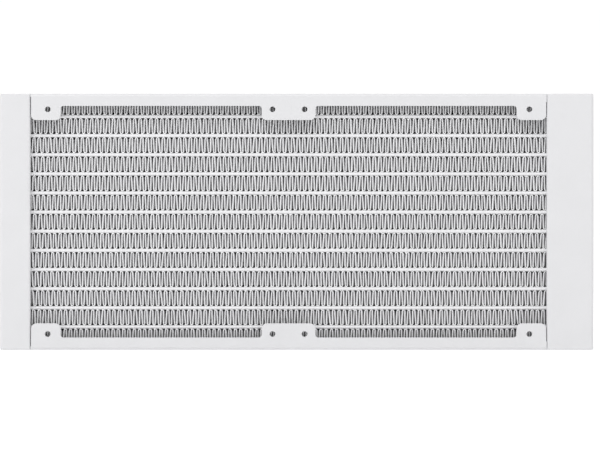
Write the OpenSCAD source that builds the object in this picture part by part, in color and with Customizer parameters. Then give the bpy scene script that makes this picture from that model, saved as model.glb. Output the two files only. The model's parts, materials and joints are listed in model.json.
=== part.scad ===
// Slim two-fan liquid cooling radiator, in millimetres.
// It stands on its lower long side: X runs along the tubes, air passes along Y, Z is up.
// The origin is in the underside, midway between the two fan hole patterns and at mid depth.

/* [Overall] */
// Height over the two side rails
height = 119.6; // [119:0.1:121]
// Depth over the two fan faces
depth = 27.2; // [26.5:0.1:30]
// Length of the finned core, from header plate to header plate
core_len = 241.2; // [238:0.2:244]
// Length of the wide tank, which has the ports and the baffle
port_tank_len = 21.9; // [21.9:0.1:30]
// Length of the narrow tank, where the coolant turns back
return_tank_len = 14.3; // [10:0.1:22]

/* [Core] */
// Number of flat tubes, half of them for each way of the flow
tube_count = 12; // [10:2:14]
// Height of one flat tube
tube_h = 1.6; // [1.4:0.1:2]
// Depth of one flat tube, along the air flow
tube_depth = 18; // [16:0.5:18]
// Number of channels inside one tube
tube_channels = 5; // [3:1:7]
// Distance from one fin fold to the next
fin_pitch = 1.27; // [1.1:0.01:1.6]
// Thickness of the fin foil with its paint
fin_t = 0.14; // [0.1:0.01:0.2]
// Depth of the fin strips, a little less than the tubes
fin_depth = 17.6; // [15:0.1:17.8]

/* [Sheet metal] */
// Wall of the tanks and header plates
tank_wall = 1.5; // [1.2:0.1:1.8]
// Sheet of the side rails and core plates
rail_t = 1.2; // [1:0.1:1.5]
// Height of the rail flange between the screw tabs
strip_h = 5.7; // [4.5:0.1:6]
// Height of the screw tabs
tab_h = 12.3; // [11:0.1:13]

/* [Fan holes] */
// Distance between the screw holes of one fan
fan_hole_spacing = 105; // [105:1:105]
// Distance between the centres of the two fans
fan_spacing = 120; // [120:1:120]
// Radius of the tapped screw holes
screw_hole_r = 1.4; // [1.25:0.05:1.6]

/* [Ports] */
// Height of each port above or below the middle
port_offset = 30; // [20:1:30]
// Radius of the bore of the two large ports
port_bore_r = 5.85; // [5.75:0.05:5.9]
// Height of the small filling port above the middle
fill_offset = 48.8; // [48.8:0.1:50]
// Radius of the bore of the filling port
fill_bore_r = 4.4; // [4.3:0.05:4.5]

/* [Hidden] */
$fn = 64;
eps = 0.02;               // overrun of a cutting tool past a face
core_end = core_len / 2;
face_y = depth / 2;
mid_z = height / 2;

fin_h = (height - 4 * rail_t - tube_count * tube_h) / (tube_count + 1);
row_pitch = fin_h + tube_h;
first_fin_z = 2 * rail_t + fin_h / 2;
first_tube_z = 2 * rail_t + fin_h + tube_h / 2;

fin_end_gap = 0.3;        // between a fin strip and each header plate
fin_crest = 0.32;         // half of the flat on each fold
fold_count = floor((core_len - 2 * fin_end_gap) / fin_pitch);

tube_wall = 0.3;
tube_stub = 1.5;          // length of tube that stands into a tank
slot_gap = 0.03;          // room for braze metal round a tube

shell_bend_r = 1.5;       // on the long outer edges
shell_lip_r = 1.1;        // on the outer edges beside the core
inner_y = face_y - tank_wall;
header_rim_len = 3.2;
header_rim_t = 1;

rail_gap = 0.3;           // between the flanges and each tank
rail_end = core_end - rail_gap;
rail_joint_h = 1.6;       // height up to which a rail meets the narrow tank
rail_joint_port_h = 4;    // the same at the wide tank
rail_bend_r = 1.5;
tab_corner_r = 2.5;
tab_root_r = 1.3;
tab_past_outer = 6;       // from an outer hole to its tab's inner edge
tab_past_inner = 5.1;     // from an inner hole to the edge of the middle tab
collar_r = 2.4;
collar_len = 1.6;
hole_x = [for (fan = [-1, 1], side = [-1, 1]) fan * fan_spacing / 2 + side * fan_hole_spacing / 2];
hole_z = mid_z - fan_hole_spacing / 2;

boss_x = core_end + 11.5; // axis of all three ports
port_flange_r = 9.2;
port_flange_t = 1.2;
port_neck_r = 8;
port_boss_len = 9.5;
port_mouth = 1;           // width and depth of the chamfer at the mouth
fill_flange_r = 7.6;
fill_flange_t = 0.8;
fill_neck_r = 6;
fill_boss_len = 8.2;
boss_gap = 0.05;          // room for braze metal round a neck

plug_lift = 0.1;          // from the boss face to the underside of the head
plug_head_r = 7;
plug_head_t = 2.2;
plug_edge = 0.5;
plug_shank_r = 4.34;
plug_shank_len = 6.5;
socket_across = 5;
socket_depth = 3.2;
seal_r = 0.6;
seal_mid_r = 5.7;
groove_w = 1.36;
groove_d = 1.16;

white = [0.92, 0.92, 0.93];
bare_metal = [0.76, 0.77, 0.79];
nickel = [0.72, 0.71, 0.68];
rubber = [0.08, 0.08, 0.09];

function numbered(word, n) = [for (i = [1:n]) str(word, i < 10 ? "_0" : "_", i)];
TUBES = numbered("tube", tube_count);
FINS = numbered("fin", tube_count + 1);
NODES = concat(
    ["side_rail_top", "side_rail_bottom", "core_plate_top", "core_plate_bottom"],
    ["port_tank_shell", "port_tank_rear_plate", "port_tank_cap_top", "port_tank_cap_bottom"],
    ["port_tank_header", "port_tank_baffle"],
    ["return_tank_shell", "return_tank_cap_top", "return_tank_cap_bottom", "return_tank_header"],
    ["inlet_port_boss", "outlet_port_boss", "fill_port_boss", "fill_plug", "fill_plug_seal"],
    TUBES,
    FINS
);
node = "all";

// ---- Helpers ----

// Puts its children against the top, upside down, when top is true.
module at_side(top) {
    if (top) translate([0, 0, height]) rotate([180, 0, 0]) children();
    else children();
}

// Puts its children at the return tank's end when port_end is false.
module at_end(port_end) {
    if (port_end) children();
    else mirror([1, 0, 0]) children();
}

// Turns a shape drawn in X and Z, with a thickness along +Z, so that it lies from y0 towards +Y.
module upright(y0, t) {
    translate([0, y0 + t, 0]) rotate([90, 0, 0]) linear_extrude(t) children();
}

// Puts its children on a port axis, with +Z pointing out of the rear face of the tank.
module on_rear(z) {
    translate([boss_x, face_y, z]) rotate([-90, 0, 0]) children();
}

// ---- Side rails ----

// A corner fill in the quadrant towards +X and +Y, left concave.
module root_fillet(r) {
    difference() {
        translate([-eps, -eps]) square(r + eps);
        translate([r, r]) circle(r);
    }
}

// A screw tab from x0 to x1, with round free corners. A side that meets a window has a round root.
module tab(x0, x1, root_left, root_right) {
    r = tab_corner_r;
    translate([x0, 0]) square([x1 - x0, tab_h - r]);
    translate([x0 + r, 0]) square([x1 - x0 - 2 * r, tab_h]);
    for (x = [x0 + r, x1 - r]) translate([x, tab_h - r]) circle(r);
    if (root_left) translate([x0, strip_h]) mirror([1, 0]) root_fillet(tab_root_r);
    if (root_right) translate([x1, strip_h]) root_fillet(tab_root_r);
}

// One flange of a rail: the strip, the outer tabs and the middle tab.
module flange_outline() {
    outer = hole_x[3] - tab_past_outer;
    middle = hole_x[2] + tab_past_inner;
    translate([-core_end, rail_t]) square([2 * core_end, strip_h - rail_t]);
    difference() {
        union() {
            tab(-rail_end, -outer, false, true);
            tab(-middle, middle, true, true);
            tab(outer, rail_end, true, false);
        }
        translate([-rail_end - 1, -1]) square([2 * rail_end + 2, rail_t + 1]);
    }
}

// The folded section of a rail: the web with its two bends.
module rail_section() {
    inner_r = rail_bend_r - rail_t;
    difference() {
        union() {
            translate([-face_y, rail_bend_r]) square([depth, strip_h - rail_bend_r - 1]);
            translate([-face_y + rail_bend_r, 0]) square([depth - 2 * rail_bend_r, strip_h - 1]);
            for (y = [-1, 1]) translate([y * (face_y - rail_bend_r), rail_bend_r]) circle(rail_bend_r);
        }
        translate([-face_y + rail_t, rail_t + inner_r]) square([depth - 2 * rail_t, strip_h]);
        translate([-face_y + rail_bend_r, rail_t]) square([depth - 2 * rail_bend_r, strip_h]);
        for (y = [-1, 1]) translate([y * (face_y - rail_bend_r), rail_bend_r]) circle(inner_r);
    }
}

// The slit that keeps the flanges off a tank, from the height given upwards.
module end_slit(x, low) {
    translate([x, -face_y - 1, low]) cube([rail_gap, depth + 2, tab_h]);
}

// A folded rail, with drawn collars behind the tapped holes. Only its web and bends meet the tanks.
module side_rail(top) {
    color(white) at_side(top) difference() {
        union() {
            translate([-core_end, 0, 0]) rotate([90, 0, 90]) linear_extrude(core_len) rail_section();
            upright(-face_y, rail_t) flange_outline();
            upright(face_y - rail_t, rail_t) flange_outline();
            for (x = hole_x, side = [-1, 1])
                translate([x, side * (face_y - rail_t / 2), hole_z])
                    rotate([side * 90, 0, 0]) cylinder(r = collar_r, h = collar_len + rail_t / 2);
        }
        for (x = hole_x)
            translate([x, face_y + 1, hole_z]) rotate([90, 0, 0]) cylinder(r = screw_hole_r, h = depth + 2);
        end_slit(-core_end - eps, rail_joint_h);
        end_slit(rail_end + eps, rail_joint_port_h);
    }
}

// The stiff plate between a rail and the outermost fin strip.
module core_plate(top) {
    color(white) at_side(top)
        translate([-core_end, -tube_depth / 2, rail_t]) cube([core_len, tube_depth, rail_t]);
}

// ---- Core ----

// A flat tube's section with round noses.
module tube_outline(grow) {
    r = tube_h / 2 + grow;
    nose = tube_depth / 2 - tube_h / 2;
    translate([-nose, -r]) square([2 * nose, 2 * r]);
    for (y = [-nose, nose]) translate([y, 0]) circle(r);
}

// Tube i, counted from the bottom, with its row of channels.
module tube(i) {
    length = core_len + 2 * (tank_wall + tube_stub);
    channel_h = tube_h - 2 * tube_wall;
    room = tube_depth - tube_h;
    channel_w = (room - (tube_channels - 1) * tube_wall) / tube_channels;
    color(white) translate([-length / 2, 0, first_tube_z + i * row_pitch])
        rotate([90, 0, 90]) linear_extrude(length) difference() {
            tube_outline(0);
            for (k = [0:tube_channels - 1])
                translate([-room / 2 + k * (channel_w + tube_wall), -channel_h / 2])
                    square([channel_w, channel_h]);
        }
}

// The middle line of a fin strip: a flat on each fold, joined by slanted legs.
function fold_line() = [
    for (k = [0:fold_count], side = [-1, 1])
        [(k - fold_count / 2) * fin_pitch + side * fin_crest, (k % 2 == 0 ? -1 : 1) * (fin_h - fin_t) / 2]
];

// The line p moved sideways by d, with its corners mitred.
function moved_line(p, d) = [
    for (k = [0:len(p) - 1])
        let (
            a = k == 0 ? p[1] - p[0] : p[k] - p[k - 1],
            b = k == len(p) - 1 ? a : p[k + 1] - p[k],
            na = [-a[1], a[0]] / norm(a),
            nb = [-b[1], b[0]] / norm(b)
        )
        p[k] + (na + nb) * d / (1 + na * nb)
];

function backwards(p) = [for (k = [len(p) - 1:-1:0]) p[k]];

// Fin strip i, counted from the bottom. Its folds touch the tubes or core plates on both sides.
module fin(i) {
    line = fold_line();
    color(white) translate([0, fin_depth / 2, first_fin_z + i * row_pitch])
        rotate([90, 0, 0]) linear_extrude(fin_depth)
            polygon(concat(moved_line(line, fin_t / 2), backwards(moved_line(line, -fin_t / 2))));
}

// ---- Tanks ----

// The outside of a tank in X and Y, with round long edges.
module tank_outline(tank_len) {
    r = shell_bend_r;
    lip = shell_lip_r;
    end = core_end + tank_len;
    translate([core_end + lip, -face_y]) square([tank_len - lip - r, depth]);
    translate([core_end, -face_y + r]) square([tank_len, depth - 2 * r]);
    translate([core_end, -face_y + lip]) square([tank_len / 2, depth - 2 * lip]);
    for (y = [-1, 1]) {
        translate([end - r, y * (face_y - r)]) circle(r);
        translate([core_end + lip, y * (face_y - lip)]) circle(lip);
    }
}

// The part of a tank's rear wall that a separate plate takes, up to the bend of the shell.
module rear_plate_zone(tank_len) {
    translate([core_end - 1, inner_y]) square([tank_len - shell_bend_r + 1, tank_wall + 1]);
}

// The folded shell of a tank, open towards the core.
module tank_shell(tank_len, port_end) {
    color(white) at_end(port_end) linear_extrude(height) difference() {
        tank_outline(tank_len);
        translate([core_end - 1, -inner_y]) square([tank_len - tank_wall + 1, 2 * inner_y]);
        if (port_end) rear_plate_zone(tank_len);
    }
}

// The rear wall of the wide tank, with a hole for the neck of each port.
module port_tank_rear_plate() {
    color(white) difference() {
        linear_extrude(height) intersection() {
            tank_outline(port_tank_len);
            rear_plate_zone(port_tank_len);
        }
        for (z = [mid_z - port_offset, mid_z + port_offset])
            on_rear(z)
                translate([0, 0, -tank_wall - 1]) cylinder(r = port_neck_r + boss_gap, h = tank_wall + 2);
        on_rear(mid_z + fill_offset)
            translate([0, 0, -tank_wall - 1]) cylinder(r = fill_neck_r + boss_gap, h = tank_wall + 2);
    }
}

// The plate that closes one end of a tank shell.
module tank_cap(tank_len, port_end, top) {
    color(white) at_end(port_end) at_side(top)
        translate([core_end, -inner_y, 0]) cube([tank_len - tank_wall, 2 * inner_y, tank_wall]);
}

// The plate that the tubes pass through, with a rim folded into the tank.
module tank_header(port_end) {
    high = height - 2 * tank_wall;
    color(white) at_end(port_end) difference() {
        translate([core_end, -inner_y, tank_wall]) cube([header_rim_len, 2 * inner_y, high]);
        translate([core_end + tank_wall, -inner_y + header_rim_t, tank_wall + header_rim_t])
            cube([header_rim_len, 2 * (inner_y - header_rim_t), high - 2 * header_rim_t]);
        for (i = [0:tube_count - 1])
            translate([core_end - 1, 0, first_tube_z + i * row_pitch])
                rotate([90, 0, 90]) linear_extrude(tank_wall + 2) tube_outline(slot_gap);
    }
}

// The plate across the middle of the wide tank, which parts the inlet side from the outlet side.
module tank_baffle() {
    past_rim = core_end + header_rim_len;
    inside = core_end + port_tank_len - tank_wall;
    color(bare_metal) translate([0, 0, mid_z - tank_wall / 2]) linear_extrude(tank_wall) {
        translate([core_end + tank_wall, -inner_y + header_rim_t])
            square([inside - core_end - tank_wall, 2 * (inner_y - header_rim_t)]);
        translate([past_rim, -inner_y]) square([inside - past_rim, 2 * inner_y]);
    }
}

// ---- Ports ----

// A threaded boss: a round flange on the tank's rear face and a neck that reaches into the tank.
module boss(z, flange_r, flange_t, neck_r, bore_r, total_len, mouth) {
    color(white) on_rear(z) difference() {
        union() {
            cylinder(r = flange_r, h = flange_t);
            translate([0, 0, flange_t - total_len]) cylinder(r = neck_r, h = total_len);
        }
        translate([0, 0, flange_t - total_len - 1]) cylinder(r = bore_r, h = total_len + 2);
        translate([0, 0, flange_t - mouth]) cylinder(r1 = bore_r, r2 = bore_r + mouth + eps, h = mouth + eps);
    }
}

module port_boss(side) {
    z = mid_z + side * port_offset;
    boss(z, port_flange_r, port_flange_t, port_neck_r, port_bore_r, port_boss_len, port_mouth);
}

module fill_port_boss() {
    boss(mid_z + fill_offset, fill_flange_r, fill_flange_t, fill_neck_r, fill_bore_r, fill_boss_len, 0.4);
}

// The screw plug: a chamfered head with a hexagon socket and a groove under it for the seal.
module fill_plug() {
    color(nickel) on_rear(mid_z + fill_offset) translate([0, 0, fill_flange_t + plug_lift]) difference() {
        union() {
            cylinder(r = plug_head_r, h = plug_head_t - plug_edge);
            translate([0, 0, plug_head_t - plug_edge])
                cylinder(r1 = plug_head_r, r2 = plug_head_r - plug_edge, h = plug_edge);
            translate([0, 0, -plug_shank_len]) cylinder(r = plug_shank_r, h = plug_shank_len + plug_edge);
        }
        translate([0, 0, plug_head_t - socket_depth])
            cylinder(r = socket_across / sqrt(3), h = socket_depth + 1, $fn = 6);
        difference() {
            translate([0, 0, -1]) cylinder(r = seal_mid_r + groove_w / 2, h = groove_d + 1);
            translate([0, 0, -2]) cylinder(r = seal_mid_r - groove_w / 2, h = groove_d + 3);
        }
    }
}

// The ring in the groove, which rests on the boss.
module fill_plug_seal() {
    color(rubber) on_rear(mid_z + fill_offset)
        translate([0, 0, fill_flange_t + seal_r + eps])
            rotate_extrude() translate([seal_mid_r, 0]) circle(seal_r);
}

// ---- Nodes ----

function shown(name) = node == "all" || node == name;

if (shown("side_rail_top")) side_rail(true);
if (shown("side_rail_bottom")) side_rail(false);
if (shown("core_plate_top")) core_plate(true);
if (shown("core_plate_bottom")) core_plate(false);
if (shown("port_tank_shell")) tank_shell(port_tank_len, true);
if (shown("port_tank_rear_plate")) port_tank_rear_plate();
if (shown("port_tank_cap_top")) tank_cap(port_tank_len, true, true);
if (shown("port_tank_cap_bottom")) tank_cap(port_tank_len, true, false);
if (shown("port_tank_header")) tank_header(true);
if (shown("port_tank_baffle")) tank_baffle();
if (shown("return_tank_shell")) tank_shell(return_tank_len, false);
if (shown("return_tank_cap_top")) tank_cap(return_tank_len, false, true);
if (shown("return_tank_cap_bottom")) tank_cap(return_tank_len, false, false);
if (shown("return_tank_header")) tank_header(false);
if (shown("inlet_port_boss")) port_boss(1);
if (shown("outlet_port_boss")) port_boss(-1);
if (shown("fill_port_boss")) fill_port_boss();
if (shown("fill_plug")) fill_plug();
if (shown("fill_plug_seal")) fill_plug_seal();
for (i = [0:tube_count - 1]) if (shown(TUBES[i])) tube(i);
for (i = [0:tube_count]) if (shown(FINS[i])) fin(i);
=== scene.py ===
"""Looks of a slim two-fan liquid cooling radiator, built round its fixed CAD frame.

Lengths are in metres. X runs along the tubes, air passes along Y and Z is up.
"""

import json
import math
import random
from contextlib import contextmanager
from itertools import product

import bpy
from bpy.props import FloatProperty, FloatVectorProperty, IntProperty, PointerProperty
from bpy.types import Operator, Panel, PropertyGroup
from mathutils import Matrix, Vector


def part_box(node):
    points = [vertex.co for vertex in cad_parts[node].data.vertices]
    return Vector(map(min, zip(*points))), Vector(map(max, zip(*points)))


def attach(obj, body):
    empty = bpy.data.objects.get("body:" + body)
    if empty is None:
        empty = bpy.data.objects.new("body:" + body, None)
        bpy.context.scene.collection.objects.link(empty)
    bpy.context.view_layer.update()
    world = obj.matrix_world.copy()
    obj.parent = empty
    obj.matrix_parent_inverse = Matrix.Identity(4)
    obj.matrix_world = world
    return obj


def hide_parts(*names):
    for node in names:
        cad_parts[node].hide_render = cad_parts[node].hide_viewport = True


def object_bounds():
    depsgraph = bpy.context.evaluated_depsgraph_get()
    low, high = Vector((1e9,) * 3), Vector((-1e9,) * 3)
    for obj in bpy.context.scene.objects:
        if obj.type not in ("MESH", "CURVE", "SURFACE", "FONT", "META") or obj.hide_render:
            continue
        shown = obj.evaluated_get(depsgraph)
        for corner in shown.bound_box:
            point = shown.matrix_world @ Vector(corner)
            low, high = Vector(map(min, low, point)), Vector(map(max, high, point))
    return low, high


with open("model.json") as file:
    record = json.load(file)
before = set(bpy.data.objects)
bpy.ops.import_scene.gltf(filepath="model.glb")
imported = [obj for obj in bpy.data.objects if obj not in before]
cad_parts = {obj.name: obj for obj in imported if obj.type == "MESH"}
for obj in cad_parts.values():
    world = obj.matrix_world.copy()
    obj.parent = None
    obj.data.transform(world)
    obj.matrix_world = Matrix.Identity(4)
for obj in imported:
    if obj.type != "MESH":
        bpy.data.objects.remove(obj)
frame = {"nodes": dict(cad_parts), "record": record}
cad_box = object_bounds()

bl_info = {
    "name": "Liquid Cooling Radiator",
    "version": (1, 0, 0),
    "blender": (4, 5, 0),
    "location": "View3D > Sidebar > Radiator",
    "description": "Builds the fins, sheet metal, ports, finishes and stage of a liquid cooling radiator",
    "category": "Add Mesh",
}

MM = 0.001
TINY = 1e-6
ROOT_BODY = "radiator"
SEAL_BODY = "seal"
PLUG_BODY = "plug"

# Faces of a CAD piece that are nearer to parallel than this are merged.
SAME_PLANE = math.radians(0.5)
# Edges sharper than this are rounded.
SHARP_EDGE = math.radians(30)

# Widths of a drawn thread's ridge at its root and at its crest, as shares of the pitch.
PORT_RIDGE = (0.72, 0.16)
PLUG_RIDGE = (0.66, 0.14)
SCREW_RIDGE = (0.62, 0.14)
# How far the root of a ridge reaches into the metal that carries it.
PORT_LAP = 0.05 * MM
FINE_LAP = 0.03 * MM
# Faces round a ridge.
RIDGE_STEPS = 48
SCREW_STEPS = 24


# ---- Sizes and colours ----


class RADIATOR_PG_core(PropertyGroup):
    """Sizes of the folded fins."""

    fold_pitch: FloatProperty(
        name="Fold pitch", description="Distance from one leg of the fins to the next",
        default=1.25 * MM, unit="LENGTH")
    foil: FloatProperty(
        name="Foil", description="Thickness of the fin foil with its paint",
        default=0.23 * MM, unit="LENGTH")
    fillet: FloatProperty(
        name="Fillet",
        description="Thickness of the round folds with the metal that joins them to the tubes",
        default=0.34 * MM, unit="LENGTH")
    crest_radius: FloatProperty(
        name="Crest radius", description="Radius of the round folds", default=0.5 * MM, unit="LENGTH")
    bow: FloatProperty(
        name="Bow", description="How far the folds stand aside at the middle of their depth",
        default=1.3 * MM, unit="LENGTH")
    louvre_margin: FloatProperty(
        name="Louvre margin", description="Plain part of a leg between its louvres and a round fold",
        default=0.25 * MM, unit="LENGTH")
    louvres: IntProperty(name="Louvres", description="Louvres in one bank of a leg", default=4)
    louvre_tilt: FloatProperty(
        name="Louvre tilt", description="Angle of a louvre to the air",
        default=math.radians(27), subtype="ANGLE")
    louvre_fill: FloatProperty(
        name="Louvre fill", description="Depth of a louvre as a share of the distance to the next one",
        default=0.9, subtype="FACTOR")
    flat_depth: FloatProperty(
        name="Flat depth", description="Depth of the plain strip between the two banks of louvres",
        default=1.3 * MM, unit="LENGTH")
    entry_depth: FloatProperty(
        name="Entry depth", description="Depth of the short louvres at the front and rear edges",
        default=0.75 * MM, unit="LENGTH")
    pitch_spread: FloatProperty(
        name="Pitch spread", description="Largest change of the fold pitch from row to row",
        default=0.01, subtype="FACTOR")
    ripple: FloatProperty(
        name="Ripple", description="How far single folds stand off their even places",
        default=0.85 * MM, unit="LENGTH")
    ripple_size: FloatProperty(
        name="Ripple size", description="Length over which the ripple changes",
        default=4.5 * MM, unit="LENGTH")
    seed: IntProperty(name="Seed", description="Seed of the rows' differences", default=7)


class RADIATOR_PG_sheet(PropertyGroup):
    """Rounding of the sheet metal's edges under the paint."""

    rail_edge: FloatProperty(
        name="Rail edge", description="Rounding of the side rails' edges",
        default=0.15 * MM, unit="LENGTH")
    shell_edge: FloatProperty(
        name="Tank edge", description="Rounding of the tanks' upper and lower edges",
        default=0.6 * MM, unit="LENGTH")
    cap_edge: FloatProperty(
        name="Cap edge", description="Rounding of the tank caps' edges",
        default=0.2 * MM, unit="LENGTH")
    plate_edge: FloatProperty(
        name="Plate edge", description="Rounding of the core plates' edges",
        default=0.12 * MM, unit="LENGTH")


class RADIATOR_PG_ports(PropertyGroup):
    """Sizes of the threads, and the edges and faces of the turned pieces."""

    port_pitch: FloatProperty(
        name="Port pitch", description="Thread pitch of the two large ports",
        default=1.337 * MM, unit="LENGTH")
    port_root: FloatProperty(
        name="Port root", description="Largest radius of the large ports' thread",
        default=6.58 * MM, unit="LENGTH")
    port_crest: FloatProperty(
        name="Port crest", description="Smallest radius of the large ports' thread",
        default=5.85 * MM, unit="LENGTH")
    fill_pitch: FloatProperty(
        name="Fill pitch", description="Thread pitch of the fill port and its plug",
        default=0.907 * MM, unit="LENGTH")
    fill_root: FloatProperty(
        name="Fill root", description="Largest radius of the fill port's thread",
        default=4.86 * MM, unit="LENGTH")
    fill_crest: FloatProperty(
        name="Fill crest", description="Smallest radius of the fill port's thread",
        default=4.42 * MM, unit="LENGTH")
    screw_pitch: FloatProperty(
        name="Screw pitch", description="Thread pitch of the fan screws' holes",
        default=0.794 * MM, unit="LENGTH")
    screw_ridge: FloatProperty(
        name="Screw ridge", description="How far the thread stands into a fan screw's hole",
        default=0.13 * MM, unit="LENGTH")
    screw_depth: FloatProperty(
        name="Screw depth", description="Length of a fan screw's hole with its collar",
        default=2.8 * MM, unit="LENGTH")
    play: FloatProperty(
        name="Play", description="Radial play between the plug's thread and the fill port's",
        default=0.06 * MM, unit="LENGTH")
    edge: FloatProperty(
        name="Edge", description="Rounding of the turned edges", default=0.15 * MM, unit="LENGTH")
    turn_steps: IntProperty(name="Turn steps", description="Faces round a turned piece", default=72)


class RADIATOR_PG_finish(PropertyGroup):
    """Colours and textures of the finishes."""

    coat: FloatVectorProperty(
        name="Coat", description="Colour of the white paint on the sheet metal",
        subtype="COLOR", default=(0.675, 0.675, 0.688))
    # Painted light: the same white paint as the coat, set lighter to stand in for the light falling on
    # the tubes and headers.
    tubes: FloatVectorProperty(
        name="Tubes", description="Colour of the white paint on the tubes and headers",
        subtype="COLOR", default=(0.755, 0.755, 0.768))
    # Painted light: the same white paint as the coat, set lighter so that the fins' front edges look lit
    # by the light that reaches into the core.
    fins: FloatVectorProperty(
        name="Fins", description="Colour of the white paint on the fins",
        subtype="COLOR", default=(0.87, 0.87, 0.882))
    # Painted shade: a darker colour for the core's depth, standing in for the shade in the channels
    # between the fins.
    core_shade: FloatVectorProperty(
        name="Bare", description="Colour of thinly painted aluminium deep in the core",
        subtype="COLOR", default=(0.42, 0.42, 0.428))
    inner: FloatVectorProperty(
        name="Inner", description="Colour of the aluminium inside the tanks",
        subtype="COLOR", default=(0.62, 0.63, 0.65))
    nickel: FloatVectorProperty(
        name="Nickel", description="Colour of the plug's plating", subtype="COLOR",
        default=(0.56, 0.545, 0.52))
    seal: FloatVectorProperty(
        name="Seal", description="Colour of the rubber seal", subtype="COLOR",
        default=(0.018, 0.018, 0.02))
    peel_size: FloatProperty(
        name="Peel size", description="Size of the paint's ripples", default=1.1 * MM, unit="LENGTH")
    peel_depth: FloatProperty(
        name="Peel depth", description="Depth of the paint's ripples",
        default=0.012 * MM, unit="LENGTH")
    # Painted shade: how far in from each face of the core the painted shade starts to darken the colour.
    shade_reach: FloatProperty(
        name="Paint reach", description="How deep the full coat reaches into the core",
        default=1.4 * MM, unit="LENGTH")


class RADIATOR_PG_stage(PropertyGroup):
    """The camera, the lights and the floor."""

    distance: FloatProperty(
        name="Distance", description="From the camera to the front face", default=3.2, unit="LENGTH")
    length_share: FloatProperty(
        name="Length share", description="Share of the picture's width that the radiator takes",
        default=0.9897, subtype="FACTOR")
    aside: FloatProperty(
        name="Aside", description="How far the camera stands to the right of the radiator's middle",
        default=1.54 * MM, unit="LENGTH")
    below: FloatProperty(
        name="Below", description="How far the camera stands below the radiator's middle",
        default=1.54 * MM, unit="LENGTH")
    level_light: FloatProperty(
        name="Level light", description="Strength of the light from all sides", default=0.82)
    light_slope: FloatVectorProperty(
        name="Light slope", description="How much stronger the even light is towards each axis",
        default=(0.0, 0.2, 0.04))
    key_power: FloatProperty(
        name="Key power", description="Power of the soft light at the upper left", default=38.0)
    floor_glow: FloatProperty(
        name="Floor glow", description="Light that shines up through the floor", default=0.53)
    rear_power: FloatProperty(
        name="Rear power", description="Power of the soft light behind", default=9.0)
    floor: FloatVectorProperty(
        name="Floor", description="Colour of the floor", subtype="COLOR", default=(0.6, 0.6, 0.6))


# ---- Helpers for hand modelling ----


def choose(obj):
    """Selects obj alone and makes it active."""
    bpy.ops.object.select_all(action="DESELECT")
    obj.hide_set(False)
    obj.select_set(True)
    bpy.context.view_layer.objects.active = obj


@contextmanager
def editing(obj, kind="VERT"):
    """Edit mode on obj, with nothing selected at the start."""
    choose(obj)
    bpy.ops.object.mode_set(mode="EDIT")
    bpy.ops.mesh.select_mode(type=kind)
    bpy.ops.mesh.select_all(action="DESELECT")
    yield
    bpy.ops.object.mode_set(mode="OBJECT")


def pick_points(obj, test):
    """In edit mode, selects just the points whose place passes test."""
    bpy.ops.mesh.select_all(action="DESELECT")
    bpy.ops.object.mode_set(mode="OBJECT")
    for vertex in obj.data.vertices:
        vertex.select = test(vertex.co)
    bpy.ops.object.mode_set(mode="EDIT")


def settle(obj):
    """Puts obj's place, turn and scale into its mesh."""
    choose(obj)
    bpy.ops.object.transform_apply(location=True, rotation=True, scale=True)
    return obj


def place(obj, matrix):
    """Moves obj by matrix and puts the result into its mesh."""
    obj.matrix_world = matrix
    return settle(obj)


def apply_modifiers(obj):
    """Applies all modifiers of obj."""
    choose(obj)
    for modifier in list(obj.modifiers):
        bpy.ops.object.modifier_apply(modifier=modifier.name)
    return obj


def copy_of(obj, name):
    """A copy of obj with a mesh of its own."""
    twin = obj.copy()
    twin.data = obj.data.copy()
    twin.name = name
    twin.data.name = name
    bpy.context.scene.collection.objects.link(twin)
    return twin


def join(parts, name):
    """Joins parts into the first of them."""
    bpy.ops.object.select_all(action="DESELECT")
    for part in parts:
        part.select_set(True)
    bpy.context.view_layer.objects.active = parts[0]
    bpy.ops.object.join()
    parts[0].name = name
    parts[0].data.name = name
    return parts[0]


def face_outwards(obj):
    """Merges doubles and turns the faces of obj outwards."""
    with editing(obj):
        bpy.ops.mesh.select_all(action="SELECT")
        bpy.ops.mesh.remove_doubles(threshold=TINY)
        bpy.ops.mesh.normals_make_consistent(inside=False)
    return obj


def smooth(obj, angle=35):
    """Shades obj smooth, with edges sharper than angle left sharp."""
    choose(obj)
    bpy.ops.object.shade_smooth_by_angle(angle=math.radians(angle))
    return obj


def flatten(obj):
    """Keeps the large faces of obj looking flat beside their rounded edges."""
    weighted = obj.modifiers.new("Weighted", "WEIGHTED_NORMAL")
    weighted.keep_sharp = True
    return apply_modifiers(obj)


def finished(obj, body, slot, material, *nodes):
    """Gives a piece its material and body, and hides the CAD nodes that it stands for. Its slot is not
    used.
    """
    obj.data.materials.clear()
    obj.data.materials.append(material)
    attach(obj, body)
    if nodes:
        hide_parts(*nodes)
    return obj


def box(size, place_at, turn=Matrix.Identity(3)):
    """A box of that size at that place."""
    bpy.ops.mesh.primitive_cube_add(size=1, location=place_at, rotation=turn.to_euler())
    obj = bpy.context.object
    obj.scale = size
    return settle(obj)


def chain(points, name):
    """A chain of edges through points given as (x, z)."""
    bpy.ops.mesh.primitive_plane_add(size=MM, location=(0, 0, 0))
    obj = bpy.context.object
    obj.name = name
    with editing(obj):
        bpy.ops.mesh.select_all(action="SELECT")
        bpy.ops.mesh.merge(type="CENTER")
        bpy.ops.mesh.select_all(action="SELECT")
        bpy.ops.transform.translate(value=(points[0][0], 0, points[0][1]))
        for start, end in zip(points, points[1:]):
            step = (end[0] - start[0], 0, end[1] - start[1])
            bpy.ops.mesh.extrude_region_move(TRANSFORM_OT_translate={"value": step})
    return obj


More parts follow.
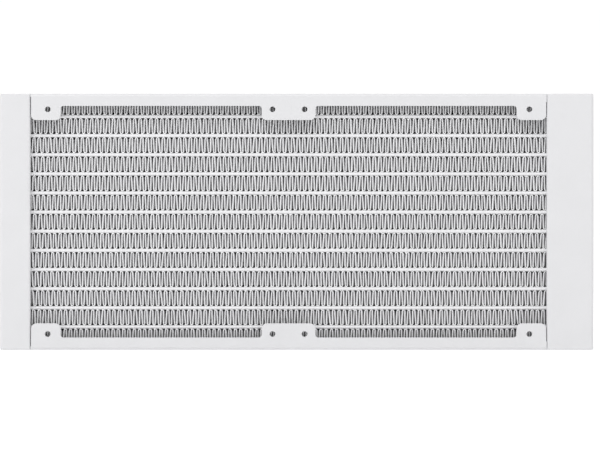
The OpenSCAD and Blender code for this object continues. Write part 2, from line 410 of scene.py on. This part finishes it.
def turned(points, name, steps, edge, corners=3):
    """A turned piece about Z, from a profile of (radius, height) points with its corners rounded."""
    obj = chain(points, name)
    with editing(obj):
        bpy.ops.mesh.select_all(action="SELECT")
        bpy.ops.mesh.remove_doubles(threshold=TINY)
        pick_points(obj, lambda co: co.x > TINY)
        bpy.ops.mesh.bevel(offset=edge, segments=corners, affect="VERTICES")
        bpy.ops.mesh.select_all(action="SELECT")
        bpy.ops.mesh.spin(steps=steps, angle=math.tau, center=(0, 0, 0), axis=(0, 0, 1))
    return face_outwards(obj)


def thread(name, root, crest, widths, pitch, turns, start, steps):
    """A helical ridge about Z, from root radius to crest radius. Widths are shares of the pitch."""
    root_width, crest_width = (share * pitch for share in widths)
    middle = ((root + crest) / 2, 0, start)
    bpy.ops.mesh.primitive_plane_add(size=1, location=middle, rotation=(math.pi / 2, 0, 0))
    obj = bpy.context.object
    obj.name = name
    obj.scale = (abs(root - crest), root_width, 1)
    settle(obj)
    with editing(obj):
        pick_points(obj, lambda co: abs(co.x - crest) < TINY)
        narrowing = (1, 1, crest_width / root_width)
        bpy.ops.transform.resize(value=narrowing, center_override=(crest, 0, start))
        bpy.ops.mesh.select_all(action="SELECT")
        bpy.ops.mesh.delete(type="ONLY_FACE")
    screw = obj.modifiers.new("Screw", "SCREW")
    screw.axis = "Z"
    screw.angle = math.tau
    screw.screw_offset = pitch
    screw.iterations = turns
    screw.steps = screw.render_steps = steps
    screw.use_merge_vertices = False
    apply_modifiers(obj)
    with editing(obj):
        bpy.ops.mesh.select_all(action="SELECT")
        bpy.ops.mesh.remove_doubles(threshold=TINY)
        bpy.ops.mesh.select_all(action="SELECT")
        bpy.ops.mesh.fill_holes(sides=4)
    return face_outwards(obj)


def merged(node, name):
    """A copy of a CAD node with merged faces."""
    piece = copy_of(frame["nodes"][node], name)
    piece.parent = None
    piece.matrix_world = Matrix.Identity(4)
    for key in list(piece.keys()):
        del piece[key]
    with editing(piece, "EDGE"):
        bpy.ops.mesh.customdata_custom_splitnormals_clear()
        bpy.ops.mesh.select_all(action="SELECT")
        bpy.ops.mesh.remove_doubles(threshold=TINY)
        bpy.ops.mesh.dissolve_limited(angle_limit=SAME_PLANE)
    return piece


def round_edges(piece, edge):
    """Rounds all sharp edges of piece."""
    bevel = piece.modifiers.new("Bevel", "BEVEL")
    bevel.width = edge
    bevel.segments = 2
    bevel.limit_method = "ANGLE"
    bevel.angle_limit = SHARP_EDGE
    return flatten(smooth(apply_modifiers(piece)))


def round_rims(piece, edge, inside):
    """Rounds the outer edges of piece's top and bottom. Inside tells which points are inner ones."""
    heights = [vertex.co.z for vertex in piece.data.vertices]
    for z in (min(heights), max(heights)):
        with editing(piece):
            pick_points(piece, lambda co: abs(co.z - z) < TINY and not inside(co))
            bpy.ops.mesh.bevel(offset=edge, segments=4)
    return flatten(smooth(piece))


# ---- Finishes ----


class Nodes:
    """A short way to build one material's nodes."""

    def __init__(self, name):
        self.material = bpy.data.materials.new(name)
        self.material.use_nodes = True
        self.tree = self.material.node_tree
        self.shader = self.tree.nodes["Principled BSDF"]
        self.place = self.add("ShaderNodeTexCoord").outputs["Object"]

    def add(self, kind, **values):
        """Adds a node. Values in lower case set it, and the others set or feed its sockets."""
        node = self.tree.nodes.new(kind)
        for key, value in values.items():
            if key[0].islower():
                setattr(node, key, value)
            elif isinstance(value, bpy.types.NodeSocket):
                self.tree.links.new(value, node.inputs[key.replace("_", " ")])
            else:
                node.inputs[key.replace("_", " ")].default_value = value
        return node

    def feed(self, output, socket):
        """Feeds output to that socket of the surface's shader."""
        self.tree.links.new(output, self.shader.inputs[socket])

    def noise(self, size, detail=2.0, roughness=0.5, stretch=(1, 1, 1)):
        """Noise whose features have about that size."""
        mapping = self.add("ShaderNodeMapping", Vector=self.place)
        mapping.inputs["Scale"].default_value = stretch
        return self.add("ShaderNodeTexNoise", Vector=mapping.outputs["Vector"], Scale=1 / size,
                        Detail=detail, Roughness=roughness).outputs["Fac"]

    def span(self, value, low, high, from_low=0.0, from_high=1.0):
        """Takes value from one span to another."""
        return self.add("ShaderNodeMapRange", Value=value, From_Min=from_low, From_Max=from_high,
                        To_Min=low, To_Max=high).outputs["Result"]

    def mix(self, share, first, second):
        """Mixes two colours, or two colour outputs."""
        node = self.tree.nodes.new("ShaderNodeMix")
        node.data_type = "RGBA"
        self.tree.links.new(share, node.inputs["Factor"])
        # Sockets of the same name serve other kinds of value, so the colour ones go by number.
        for socket, colour in ((node.inputs[6], first), (node.inputs[7], second)):
            if isinstance(colour, bpy.types.NodeSocket):
                self.tree.links.new(colour, socket)
            else:
                socket.default_value = (*colour, 1)
        return node.outputs[2]

    def bump(self, height, depth, under=None):
        """A bump of that depth, laid over another one."""
        node = self.add("ShaderNodeBump", Height=height, Distance=depth, Strength=1.0)
        if under is not None:
            self.tree.links.new(under, node.inputs["Normal"])
        return node.outputs["Normal"]


def shaded(colour, factor):
    """The colour times factor."""
    return tuple(channel * factor for channel in colour)


def coat_material(name, finish, rough=0.42):
    """White powder paint: faint mottling, fine ripples and a satin gloss that varies a little."""
    n = Nodes(name)
    mottle = n.span(n.noise(size=14 * MM, detail=3.0), 0.0, 1.0, from_low=0.3, from_high=0.7)
    speck = n.span(n.noise(size=0.35 * MM, detail=1.0), 0.0, 1.0, from_low=0.35, from_high=0.65)
    broad = n.mix(mottle, shaded(finish.coat, 0.985), shaded(finish.coat, 1.01))
    fine = n.mix(n.span(speck, low=0.0, high=0.16), broad, shaded(finish.coat, 0.93))
    n.feed(fine, "Base Color")
    n.feed(n.span(n.noise(size=5 * MM), low=rough - 0.05, high=rough + 0.06), "Roughness")
    peel = n.bump(n.noise(finish.peel_size, roughness=0.4), finish.peel_depth)
    grain = n.bump(n.noise(size=0.22 * MM, detail=1.0), depth=finish.peel_depth * 0.16, under=peel)
    n.feed(grain, "Normal")
    n.shader.inputs["Specular IOR Level"].default_value = 0.45
    return n.material


def core_coat_material(name, finish, paint, half_depth):
    """Paint on the core, with painted shade: full colour at both faces, turning darker deeper in where
    the channels between the fins lie in shade.
    """
    n = Nodes(name)
    across = n.add("ShaderNodeSeparateXYZ", Vector=n.place).outputs["Y"]
    depth = n.add("ShaderNodeMath", operation="ABSOLUTE").outputs[0]
    n.tree.links.new(across, depth.node.inputs[0])
    wander = n.span(n.noise(size=4 * MM), low=-0.5 * MM, high=0.5 * MM)
    edge = n.add("ShaderNodeMath", operation="ADD").outputs[0]
    n.tree.links.new(depth, edge.node.inputs[0])
    n.tree.links.new(wander, edge.node.inputs[1])
    # Painted shade: cover is 1 near the core's faces and falls to 0 deeper in, where the colour turns to
    # the darker painted shade.
    cover = n.span(edge, 0.0, 1.0, from_low=half_depth - 2 * finish.shade_reach,
                   from_high=half_depth - 0.3 * finish.shade_reach)
    patches = n.span(n.noise(size=6 * MM), 0.0, 1.0, from_low=0.3, from_high=0.7)
    mottle = n.mix(patches, shaded(paint, 0.97), shaded(paint, 1.02))
    n.feed(n.mix(cover, finish.core_shade, mottle), "Base Color")
    n.feed(n.span(n.noise(size=2 * MM), low=0.42, high=0.58), "Roughness")
    n.feed(n.bump(n.noise(size=0.5 * MM), depth=0.006 * MM), "Normal")
    return n.material


def inner_material(name, finish):
    """Rolled aluminium with fine drawn lines and stains of braze flux."""
    n = Nodes(name)
    lines = n.noise(size=0.5 * MM, detail=4.0, roughness=0.6, stretch=(0.05, 1, 1))
    stain = n.span(n.noise(size=7 * MM, detail=3.0), 0.0, 1.0, from_low=0.4, from_high=0.7)
    n.feed(n.mix(stain, finish.inner, shaded(finish.inner, 0.82)), "Base Color")
    n.feed(n.span(lines, low=0.3, high=0.5), "Roughness")
    n.feed(n.bump(lines, depth=0.004 * MM), "Normal")
    n.shader.inputs["Metallic"].default_value = 1.0
    return n.material


def nickel_material(name, finish, axis):
    """Turned and plated metal, with rings about the plug's own axis."""
    n = Nodes(name)
    centred = n.add("ShaderNodeMapping", Vector=n.place)
    centred.inputs["Location"].default_value = -axis
    # The wave texture repeats every pi / 10 over its scale, so these rings stand 0.226 mm apart.
    rings_scale = 1 / (6 * 0.12 * MM)
    rings = n.add("ShaderNodeTexWave", Vector=centred.outputs["Vector"], wave_type="RINGS",
                  rings_direction="Y", Scale=rings_scale, Distortion=0.4,
                  Detail=1.0, Detail_Scale=1.0).outputs["Fac"]
    smudge = n.noise(size=3 * MM, detail=3.0)
    stain = n.span(smudge, 0.0, 1.0, from_low=0.35, from_high=0.7)
    n.feed(n.mix(stain, finish.nickel, shaded(finish.nickel, 0.9)), "Base Color")
    n.feed(n.span(smudge, low=0.2, high=0.32), "Roughness")
    n.feed(n.bump(rings, depth=0.0025 * MM), "Normal")
    n.shader.inputs["Metallic"].default_value = 1.0
    return n.material


def rubber_material(name, finish):
    """Matt black rubber with a fine grain and a little dust."""
    n = Nodes(name)
    dust_colour = (0.09, 0.09, 0.09)
    dust = n.span(n.noise(size=1.6 * MM, detail=4.0), low=0.0, high=0.3, from_low=0.5, from_high=0.8)
    n.feed(n.mix(dust, finish.seal, dust_colour), "Base Color")
    n.feed(n.span(n.noise(size=0.6 * MM), low=0.6, high=0.8), "Roughness")
    n.feed(n.bump(n.noise(size=0.15 * MM), depth=0.004 * MM), "Normal")
    return n.material


def material_of(name):
    """A finish that the finishes operator has made."""
    found = bpy.data.materials.get(name)
    if found is None:
        raise RuntimeError(f"the finish {name} has to be made first")
    return found


class RADIATOR_OT_finishes(Operator):
    """Make the finishes and put them on the CAD pieces that stay in view"""

    bl_idname = "radiator.finishes"
    bl_label = "Finishes"

    def execute(self, context):
        finish = context.scene.radiator_finish
        low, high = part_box("tube_01")
        plug_low, plug_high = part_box("fill_plug")
        coat_material("white_coat", finish)
        # Both core coats turn darker deeper in the core as painted shade.
        tube_coat = core_coat_material("tube_coat_white", finish, finish.tubes, high.y)
        core_coat_material("fin_coat_white", finish, finish.fins, high.y)
        inner = inner_material("rolled_aluminium", finish)
        nickel_material("turned_nickel", finish, (plug_low + plug_high) / 2)
        rubber_material("black_rubber", finish)
        kept = {"tube": tube_coat, "port_tank_header": tube_coat, "return_tank_header": tube_coat,
                "port_tank_baffle": inner}
        for node, obj in frame["nodes"].items():
            for start, material in kept.items():
                if node.startswith(start):
                    obj.material_slots[0].material = material
        return {"FINISHED"}


# ---- Fins ----


def crest_band(core, height, depth):
    """The round top of one fold, with the plain upper stretch of its two legs."""
    reach = height / 2 - core.fillet / 2 - core.crest_radius
    bpy.ops.mesh.primitive_circle_add(
        vertices=8, radius=core.crest_radius, location=(0, -depth / 2, reach),
        rotation=(math.pi / 2, 0, 0))
    band = settle(bpy.context.object)
    slope = (core.fold_pitch - 2 * core.crest_radius) / (2 * reach)
    with editing(band):
        pick_points(band, lambda co: co.z < reach - TINY)
        bpy.ops.mesh.delete(type="VERT")
        for side in (-1, 1):
            pick_points(band, lambda co: abs(co.z - reach) < TINY and co.x * side > TINY)
            step = (side * core.louvre_margin * slope, 0, -core.louvre_margin)
            bpy.ops.mesh.extrude_region_move(TRANSFORM_OT_translate={"value": step})
        bpy.ops.mesh.select_all(action="SELECT")
        for side in (1, -1):
            step = (side * core.bow, depth / 2, 0)
            bpy.ops.mesh.extrude_region_move(TRANSFORM_OT_translate={"value": step})
    solid = band.modifiers.new("Solidify", "SOLIDIFY")
    solid.thickness = core.fillet
    solid.offset = 0
    solid.use_even_offset = True
    apply_modifiers(band)
    return smooth(face_outwards(band), angle=60)


def leg_slats(core, height, depth):
    """The flats and louvres of the leg that goes down to the right of a top crest."""
    reach = height / 2 - core.fillet / 2 - core.crest_radius
    lean = math.atan((core.fold_pitch - 2 * core.crest_radius) / (2 * reach))
    half = depth / 2
    tall = 2 * (reach - core.louvre_margin) / math.cos(lean) + core.foil
    skew = math.atan(core.bow / half)
    upright = Matrix.Rotation(-lean, 3, "Y")

    def aside(y):
        return core.fold_pitch / 2 + core.bow * (1 - abs(y) / half)

    parts = [box((core.foil, core.flat_depth, tall), (aside(0), 0, 0), upright)]
    step = (half - core.flat_depth / 2 - core.entry_depth) / core.louvres
    for side in (-1, 1):
        turn = upright @ Matrix.Rotation(side * (skew + core.louvre_tilt), 3, "Z")
        y = side * (half - core.entry_depth * math.cos(skew + core.louvre_tilt) / 2)
        parts.append(box((core.foil, core.entry_depth, tall), (aside(y), y, 0), turn))
        y = side * (core.flat_depth / 2 + step / 2)
        slat = box((core.foil, step * core.louvre_fill, tall), (aside(y), y, 0), turn)
        array = slat.modifiers.new("Array", "ARRAY")
        array.count = core.louvres
        array.use_relative_offset = False
        array.use_constant_offset = True
        array.constant_offset_displace = (-core.bow * step / half, side * step, 0)
        parts.append(apply_modifiers(slat))
    return join(parts, "leg_slats")


def one_fold(core, height, depth):
    """One whole fold: a top crest, a leg down, a bottom crest and a leg up."""
    upper = join([crest_band(core, height, depth), leg_slats(core, height, depth)], "fold")
    lower = copy_of(upper, "fold_lower")
    place(lower, Matrix.Translation((core.fold_pitch, 0, 0)) @ Matrix.Diagonal((1, 1, -1, 1)))
    fold = join([upper, lower], "fold")
    with editing(fold):
        bpy.ops.mesh.select_all(action="SELECT")
        bpy.ops.mesh.normals_make_consistent(inside=False)
    return smooth(fold, angle=60)


def trim(obj, x, side):
    """Cuts off what stands past x on that side, and closes the cuts."""
    with editing(obj):
        bpy.ops.mesh.select_all(action="SELECT")
        # A fine threshold, so that each cut has a clean edge to close.
        bpy.ops.mesh.bisect(
            plane_co=(x, 0, 0), plane_no=(side, 0, 0), clear_outer=True, threshold=TINY / 10)
        bpy.ops.mesh.select_all(action="SELECT")
        bpy.ops.mesh.fill_holes(sides=0)


class RADIATOR_OT_fins(Operator):
    """Fold the louvred fin strips, one for each row of the core"""

    bl_idname = "radiator.fins"
    bl_label = "Fins"

    def execute(self, context):
        core = context.scene.radiator_core
        names = sorted(n for n in frame["nodes"] if n.startswith("fin_"))
        low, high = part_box(names[0])
        fold = one_fold(core, high.z - low.z, high.y - low.y)
        period = 2 * core.fold_pitch
        rng = random.Random(core.seed)
        noise = bpy.data.textures.new("fin_ripple", "CLOUDS")
        noise.noise_scale = core.ripple_size
        noise.noise_depth = 2
        for node in names:
            low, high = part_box(node)
            strip = copy_of(fold, f"{node}_strip")
            array = strip.modifiers.new("Array", "ARRAY")
            array.use_relative_offset = False
            array.use_constant_offset = True
            array.constant_offset_displace = (period, 0, 0)
            # Spare folds cover the random start and the stretch, and are trimmed off.
            array.count = math.ceil((high.x - low.x + 2 * core.bow) / period) + 3
            apply_modifiers(strip)
            stretch = 1 + rng.uniform(-core.pitch_spread, core.pitch_spread)
            start = low.x - core.bow - period * (1 + rng.random())
            middle = Vector((start, (low.y + high.y) / 2, (low.z + high.z) / 2))
            place(strip, Matrix.Translation(middle) @ Matrix.Diagonal((stretch, 1, 1, 1)))
            ripple = strip.modifiers.new("Ripple", "DISPLACE")
            ripple.texture = noise
            ripple.direction = "X"
            ripple.texture_coords = "LOCAL"
            ripple.strength = core.ripple
            apply_modifiers(strip)
            trim(strip, low.x, -1)
            trim(strip, high.x, 1)
            finished(strip, ROOT_BODY, "fin_coat", material_of("fin_coat_white"), node)
        bpy.data.objects.remove(fold)
        return {"FINISHED"}


# ---- Sheet metal ----


def tapped(rail, node, ports):
    """Adds the threads in the fan screws' holes of a rail."""
    low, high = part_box(node)
    # Whole turns that leave at least 0.3 of a pitch plain at each end of the hole.
    turns = int(ports.screw_depth / ports.screw_pitch - 0.6)
    start = (ports.screw_depth - turns * ports.screw_pitch) / 2
    ridges = []
    for mount in frame["record"]["mounts"]:
        if mount["kind"] != "bolt_pattern":
            continue
        dims = mount["dims"]
        bore = dims["hole_r_mm"] * MM
        inwards = Matrix.Rotation(mount["axis"][1] * math.pi / 2, 4, "X")
        for across, up in product((-0.5, 0.5), repeat=2):
            step = Vector((across * dims["spacing_x_mm"], 0, up * dims["spacing_y_mm"])) * MM
            centre = Vector(mount["pos_m"]) + step
            if low.z < centre.z < high.z:
                ridge = thread("ridge", bore + FINE_LAP, bore - ports.screw_ridge, SCREW_RIDGE,
                               ports.screw_pitch, turns, start, SCREW_STEPS)
                ridges.append(place(smooth(ridge), Matrix.Translation(centre) @ inwards))
    return join([rail, *ridges], rail.name)


class RADIATOR_OT_sheet_metal(Operator):
    """Round the painted edges of the rails, tanks, caps and core plates, and tap the rails"""

    bl_idname = "radiator.sheet_metal"
    bl_label = "Sheet metal"

    # Points of a shell's rim that are this near to its cap belong to the inner edge.
    near_cap = 0.15 * MM

    def execute(self, context):
        sheet = context.scene.radiator_sheet
        coat = material_of("white_coat")
        edges = {
            "side_rail": (sheet.rail_edge, "rail_coat"),
            "core_plate": (sheet.plate_edge, "core_coat"),
            "port_tank_cap": (sheet.cap_edge, "tank_coat"),
            "return_tank_cap": (sheet.cap_edge, "tank_coat"),
        }
        for node in sorted(frame["nodes"]):
            for start, (edge, slot) in edges.items():
                if node.startswith(start):
                    piece = round_edges(merged(node, f"{node}_painted"), edge)
                    if start == "side_rail":
                        piece = tapped(piece, node, context.scene.radiator_ports)
                    finished(piece, ROOT_BODY, slot, coat, node)
        for node in ("port_tank_shell", "port_tank_rear_plate", "return_tank_shell"):
            cap = "port_tank_cap_top" if node.startswith("port") else "return_tank_cap_top"
            low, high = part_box(cap)
            margin = Vector((self.near_cap, self.near_cap))

            def inside(co, low=low.xy - margin, high=high.xy + margin):
                return low.x < co.x < high.x and low.y < co.y < high.y

            piece = round_rims(merged(node, f"{node}_painted"), sheet.shell_edge, inside)
            finished(piece, ROOT_BODY, "tank_coat", coat, node)
        return {"FINISHED"}


# ---- Ports ----


def rear_face():
    """Where the rear face of the wide tank stands along Y."""
    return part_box("port_tank_rear_plate")[1].y


def port_frame(node):
    """The place of a port: its axis along Z, and Z 0 on the tank's rear face."""
    low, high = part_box(node)
    middle = (low + high) / 2
    return Matrix.Translation((middle.x, rear_face(), middle.z)) @ Matrix.Rotation(-math.pi / 2, 4, "X")


def boss(node, ports, root, crest, pitch, neck, mouth):
    """A threaded boss with a round flange, for that CAD node. Mouth is the size of its chamfer."""
    low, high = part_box(node)
    rear = rear_face()
    flange = (high.x - low.x) / 2
    top = high.y - rear
    bottom = low.y - rear
    profile = [(root, bottom), (neck, bottom), (neck, 0), (flange, 0), (flange, top),
               (root + mouth, top), (root, top - mouth), (root, bottom)]
    body = turned(profile, f"{node}_turned", ports.turn_steps, ports.edge)
    turns = int((top - bottom - 2 * mouth) / pitch) - 1
    start = bottom + 0.9 * pitch
    ridge = thread("ridge", root + PORT_LAP, crest, PORT_RIDGE, pitch, turns, start, RIDGE_STEPS)
    return place(smooth(join([body, ridge], f"{node}_threaded")), port_frame(node))


class RADIATOR_OT_ports(Operator):
    """Turn the threaded bosses of the three ports"""

    bl_idname = "radiator.ports"
    bl_label = "Ports"

    # Radius of the neck behind the flange, and size of the chamfer at the mouth.
    port_neck, port_mouth = 8 * MM, 0.45 * MM
    fill_neck, fill_mouth = 6 * MM, 0.2 * MM

    def execute(self, context):
        ports = context.scene.radiator_ports
        coat = material_of("white_coat")
        for node in ("inlet_port_boss", "outlet_port_boss"):
            piece = boss(node, ports, ports.port_root, ports.port_crest, ports.port_pitch,
                         self.port_neck, self.port_mouth)
            finished(piece, ROOT_BODY, "port_coat", coat, node)
        node = "fill_port_boss"
        piece = boss(node, ports, ports.fill_root, ports.fill_crest, ports.fill_pitch,
                     self.fill_neck, self.fill_mouth)
        finished(piece, ROOT_BODY, "port_coat", coat, node)
        return {"FINISHED"}


class RADIATOR_OT_fill_plug(Operator):
    """Turn the fill plug with its hexagon socket and thread, and mould its seal"""

    bl_idname = "radiator.fill_plug"
    bl_label = "Fill plug"

    socket_across = 5 * MM
    socket_depth = 3.2 * MM
    head_edge = 0.45 * MM
    tip_edge = 0.4 * MM
    # Gap between the head and the boss, and the groove's room beside and over the ring.
    head_gap = 0.1 * MM
    groove_play = 0.08 * MM
    groove_rise = 0.04 * MM
    # Thickness of the ring as a share of its CAD solid's, and how far its moulding line is drawn out.
    ring_share = 0.985
    flash_stretch = 1.003

    def execute(self, context):
        ports = context.scene.radiator_ports
        low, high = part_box("fill_plug")
        seal_low, seal_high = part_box("fill_plug_seal")
        rear = rear_face()
        head = (high.x - low.x) / 2
        top, tip = high.y - rear, low.y - rear
        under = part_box("fill_port_boss")[1].y - rear + self.head_gap
        ring = (seal_high.y - seal_low.y) / 2
        ring_middle = (seal_high.x - seal_low.x) / 2 - ring
        groove = (ring_middle - ring - self.groove_play, ring_middle + ring + self.groove_play)
        groove_top = seal_high.y - rear + self.groove_rise
        core = ports.fill_crest - ports.play
        profile = [(0, top), (head - self.head_edge, top), (head, top - self.head_edge), (head, under),
                   (groove[1], under), (groove[1], groove_top),
                   (groove[0], groove_top), (groove[0], under),
                   (core, under), (core, tip + self.tip_edge), (core - self.tip_edge, tip), (0, tip)]
        body = turned(profile, "plug_body", ports.turn_steps, ports.edge * 0.5)
        bpy.ops.mesh.primitive_cylinder_add(
            vertices=6, radius=self.socket_across / math.sqrt(3), depth=2 * self.socket_depth,
            location=(0, 0, top))
        hexagon = bpy.context.object
        cut = body.modifiers.new("Socket", "BOOLEAN")
        cut.operation = "DIFFERENCE"
        cut.solver = "EXACT"
        cut.object = hexagon
        apply_modifiers(body)
        bpy.data.objects.remove(hexagon)
        turns = int((under - tip) / ports.fill_pitch) - 1
        start = under - (turns + 0.6) * ports.fill_pitch
        ridge = thread("ridge", core - FINE_LAP, ports.fill_root - ports.play, PLUG_RIDGE,
                       ports.fill_pitch, turns, start, RIDGE_STEPS)
        plug = smooth(join([body, ridge], "fill_plug_turned"), angle=30)
        place(plug, port_frame("fill_plug"))
        finished(plug, PLUG_BODY, "plug_nickel", material_of("turned_nickel"), "fill_plug")

        bpy.ops.mesh.primitive_torus_add(
            major_radius=ring_middle, minor_radius=ring * self.ring_share,
            major_segments=ports.turn_steps, minor_segments=20,
            location=(0, 0, (seal_low.y + seal_high.y) / 2 - rear))
        seal = settle(bpy.context.object)
        seal.name = seal.data.name = "fill_plug_o_ring"
        flash = ring_middle + ring * self.ring_share
        with editing(seal):
            pick_points(seal, lambda co: co.xy.length > flash - TINY)
            stretch = (self.flash_stretch, self.flash_stretch, 1)
            bpy.ops.transform.resize(value=stretch, center_override=(0, 0, 0))
        place(smooth(seal), port_frame("fill_plug_seal"))
        finished(seal, SEAL_BODY, "seal_rubber", material_of("black_rubber"), "fill_plug_seal")
        return {"FINISHED"}


# ---- Stage ----


def soft_light(name, power, size, place_at, aim):
    """A square soft light that faces aim."""
    data = bpy.data.lights.new(name, "AREA")
    data.energy = power
    data.size = size
    lamp = bpy.data.objects.new(name, data)
    lamp.location = place_at
    lamp.rotation_euler = (Vector(aim) - Vector(place_at)).to_track_quat("-Z", "Y").to_euler()
    bpy.context.scene.collection.objects.link(lamp)


class RADIATOR_OT_stage(Operator):
    """Set up the pale floor, the soft lights and the camera"""

    bl_idname = "radiator.stage"
    bl_label = "Stage"

    floor_radius = 30
    floor_drop = 0.2 * MM
    light_size = 1.4
    key_place = (-0.7, -1.9, 2.4)
    rear_place = (-0.9, 1.9, 1.6)
    sensor_width = 36

    def execute(self, context):
        stage = context.scene.radiator_stage
        low, high = cad_box
        middle = (low + high) / 2
        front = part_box("side_rail_top")[0].y

        bpy.ops.mesh.primitive_circle_add(
            vertices=64, radius=self.floor_radius, fill_type="NGON", location=(0, 0, -self.floor_drop))
        floor = settle(bpy.context.object)
        floor.name = "floor"
        n = Nodes("floor_paper")
        n.feed(n.mix(n.noise(size=0.4), stage.floor, shaded(stage.floor, 0.99)), "Base Color")
        n.feed(n.bump(n.noise(size=0.9 * MM), depth=0.01 * MM), "Normal")
        n.shader.inputs["Roughness"].default_value = 0.9
        n.shader.inputs["Specular IOR Level"].default_value = 0.1
        n.shader.inputs["Emission Color"].default_value = (1, 1, 1, 1)
        n.shader.inputs["Emission Strength"].default_value = stage.floor_glow
        floor.data.materials.append(n.material)

        world = bpy.data.worlds.new("even_light")
        world.use_nodes = True
        tree = world.node_tree
        back = tree.nodes["Background"]
        back.inputs["Color"].default_value = (1, 1, 1, 1)
        direction = tree.nodes.new("ShaderNodeTexCoord")
        slope = tree.nodes.new("ShaderNodeVectorMath")
        slope.operation = "DOT_PRODUCT"
        slope.inputs[1].default_value = stage.light_slope
        total = tree.nodes.new("ShaderNodeMath")
        total.inputs[1].default_value = stage.level_light
        tree.links.new(direction.outputs["Generated"], slope.inputs[0])
        tree.links.new(slope.outputs["Value"], total.inputs[0])
        # The camera sees a pure white surround, while the light keeps its own strength.
        seen = tree.nodes.new("ShaderNodeLightPath")
        strength = tree.nodes.new("ShaderNodeMath")
        strength.operation = "MAXIMUM"
        tree.links.new(total.outputs["Value"], strength.inputs[0])
        tree.links.new(seen.outputs["Is Camera Ray"], strength.inputs[1])
        tree.links.new(strength.outputs["Value"], back.inputs["Strength"])
        context.scene.world = world

        soft_light("key", stage.key_power, self.light_size, self.key_place, middle)
        soft_light("rear", stage.rear_power, self.light_size, self.rear_place, middle)

        data = bpy.data.cameras.new("camera")
        data.sensor_width = self.sensor_width
        view_width = (high.x - low.x) / stage.length_share
        data.lens = data.sensor_width * stage.distance / view_width
        data.clip_start = 0.1
        data.clip_end = 100
        camera = bpy.data.objects.new("camera", data)
        camera.location = (middle.x + stage.aside, front - stage.distance, middle.z - stage.below)
        camera.rotation_euler = (math.pi / 2, 0, 0)
        context.scene.collection.objects.link(camera)
        context.scene.camera = camera
        context.scene.view_settings.view_transform = "Standard"
        return {"FINISHED"}


# ---- Add-on ----


class RADIATOR_PT_panel(Panel):
    """Lists the steps of the build"""

    bl_label = "Liquid Cooling Radiator"
    bl_space_type = "VIEW_3D"
    bl_region_type = "UI"
    bl_category = "Radiator"

    def draw(self, context):
        for step in STEPS:
            self.layout.operator(step.bl_idname)
        for name in SETTINGS:
            group = getattr(context.scene, name)
            column = self.layout.box().column()
            for key in group.bl_rna.properties.keys():
                if key not in ("rna_type", "name"):
                    column.prop(group, key)


SETTINGS = {
    "radiator_core": RADIATOR_PG_core,
    "radiator_sheet": RADIATOR_PG_sheet,
    "radiator_ports": RADIATOR_PG_ports,
    "radiator_finish": RADIATOR_PG_finish,
    "radiator_stage": RADIATOR_PG_stage,
}
STEPS = (
    RADIATOR_OT_finishes,
    RADIATOR_OT_fins,
    RADIATOR_OT_sheet_metal,
    RADIATOR_OT_ports,
    RADIATOR_OT_fill_plug,
    RADIATOR_OT_stage,
)
CLASSES = (*SETTINGS.values(), *STEPS, RADIATOR_PT_panel)


def register():
    """Registers the classes and gives each scene its settings."""
    for cls in CLASSES:
        bpy.utils.register_class(cls)
    for name, group in SETTINGS.items():
        setattr(bpy.types.Scene, name, PointerProperty(type=group))


def unregister():
    """Takes back what register has done."""
    for name in SETTINGS:
        delattr(bpy.types.Scene, name)
    for cls in reversed(CLASSES):
        bpy.utils.unregister_class(cls)


def main():
    """Builds everything in order."""
    register()
    bpy.ops.radiator.finishes()
    bpy.ops.radiator.fins()
    bpy.ops.radiator.sheet_metal()
    bpy.ops.radiator.ports()
    bpy.ops.radiator.fill_plug()
    bpy.ops.radiator.stage()


if __name__ == "__main__":
    main()
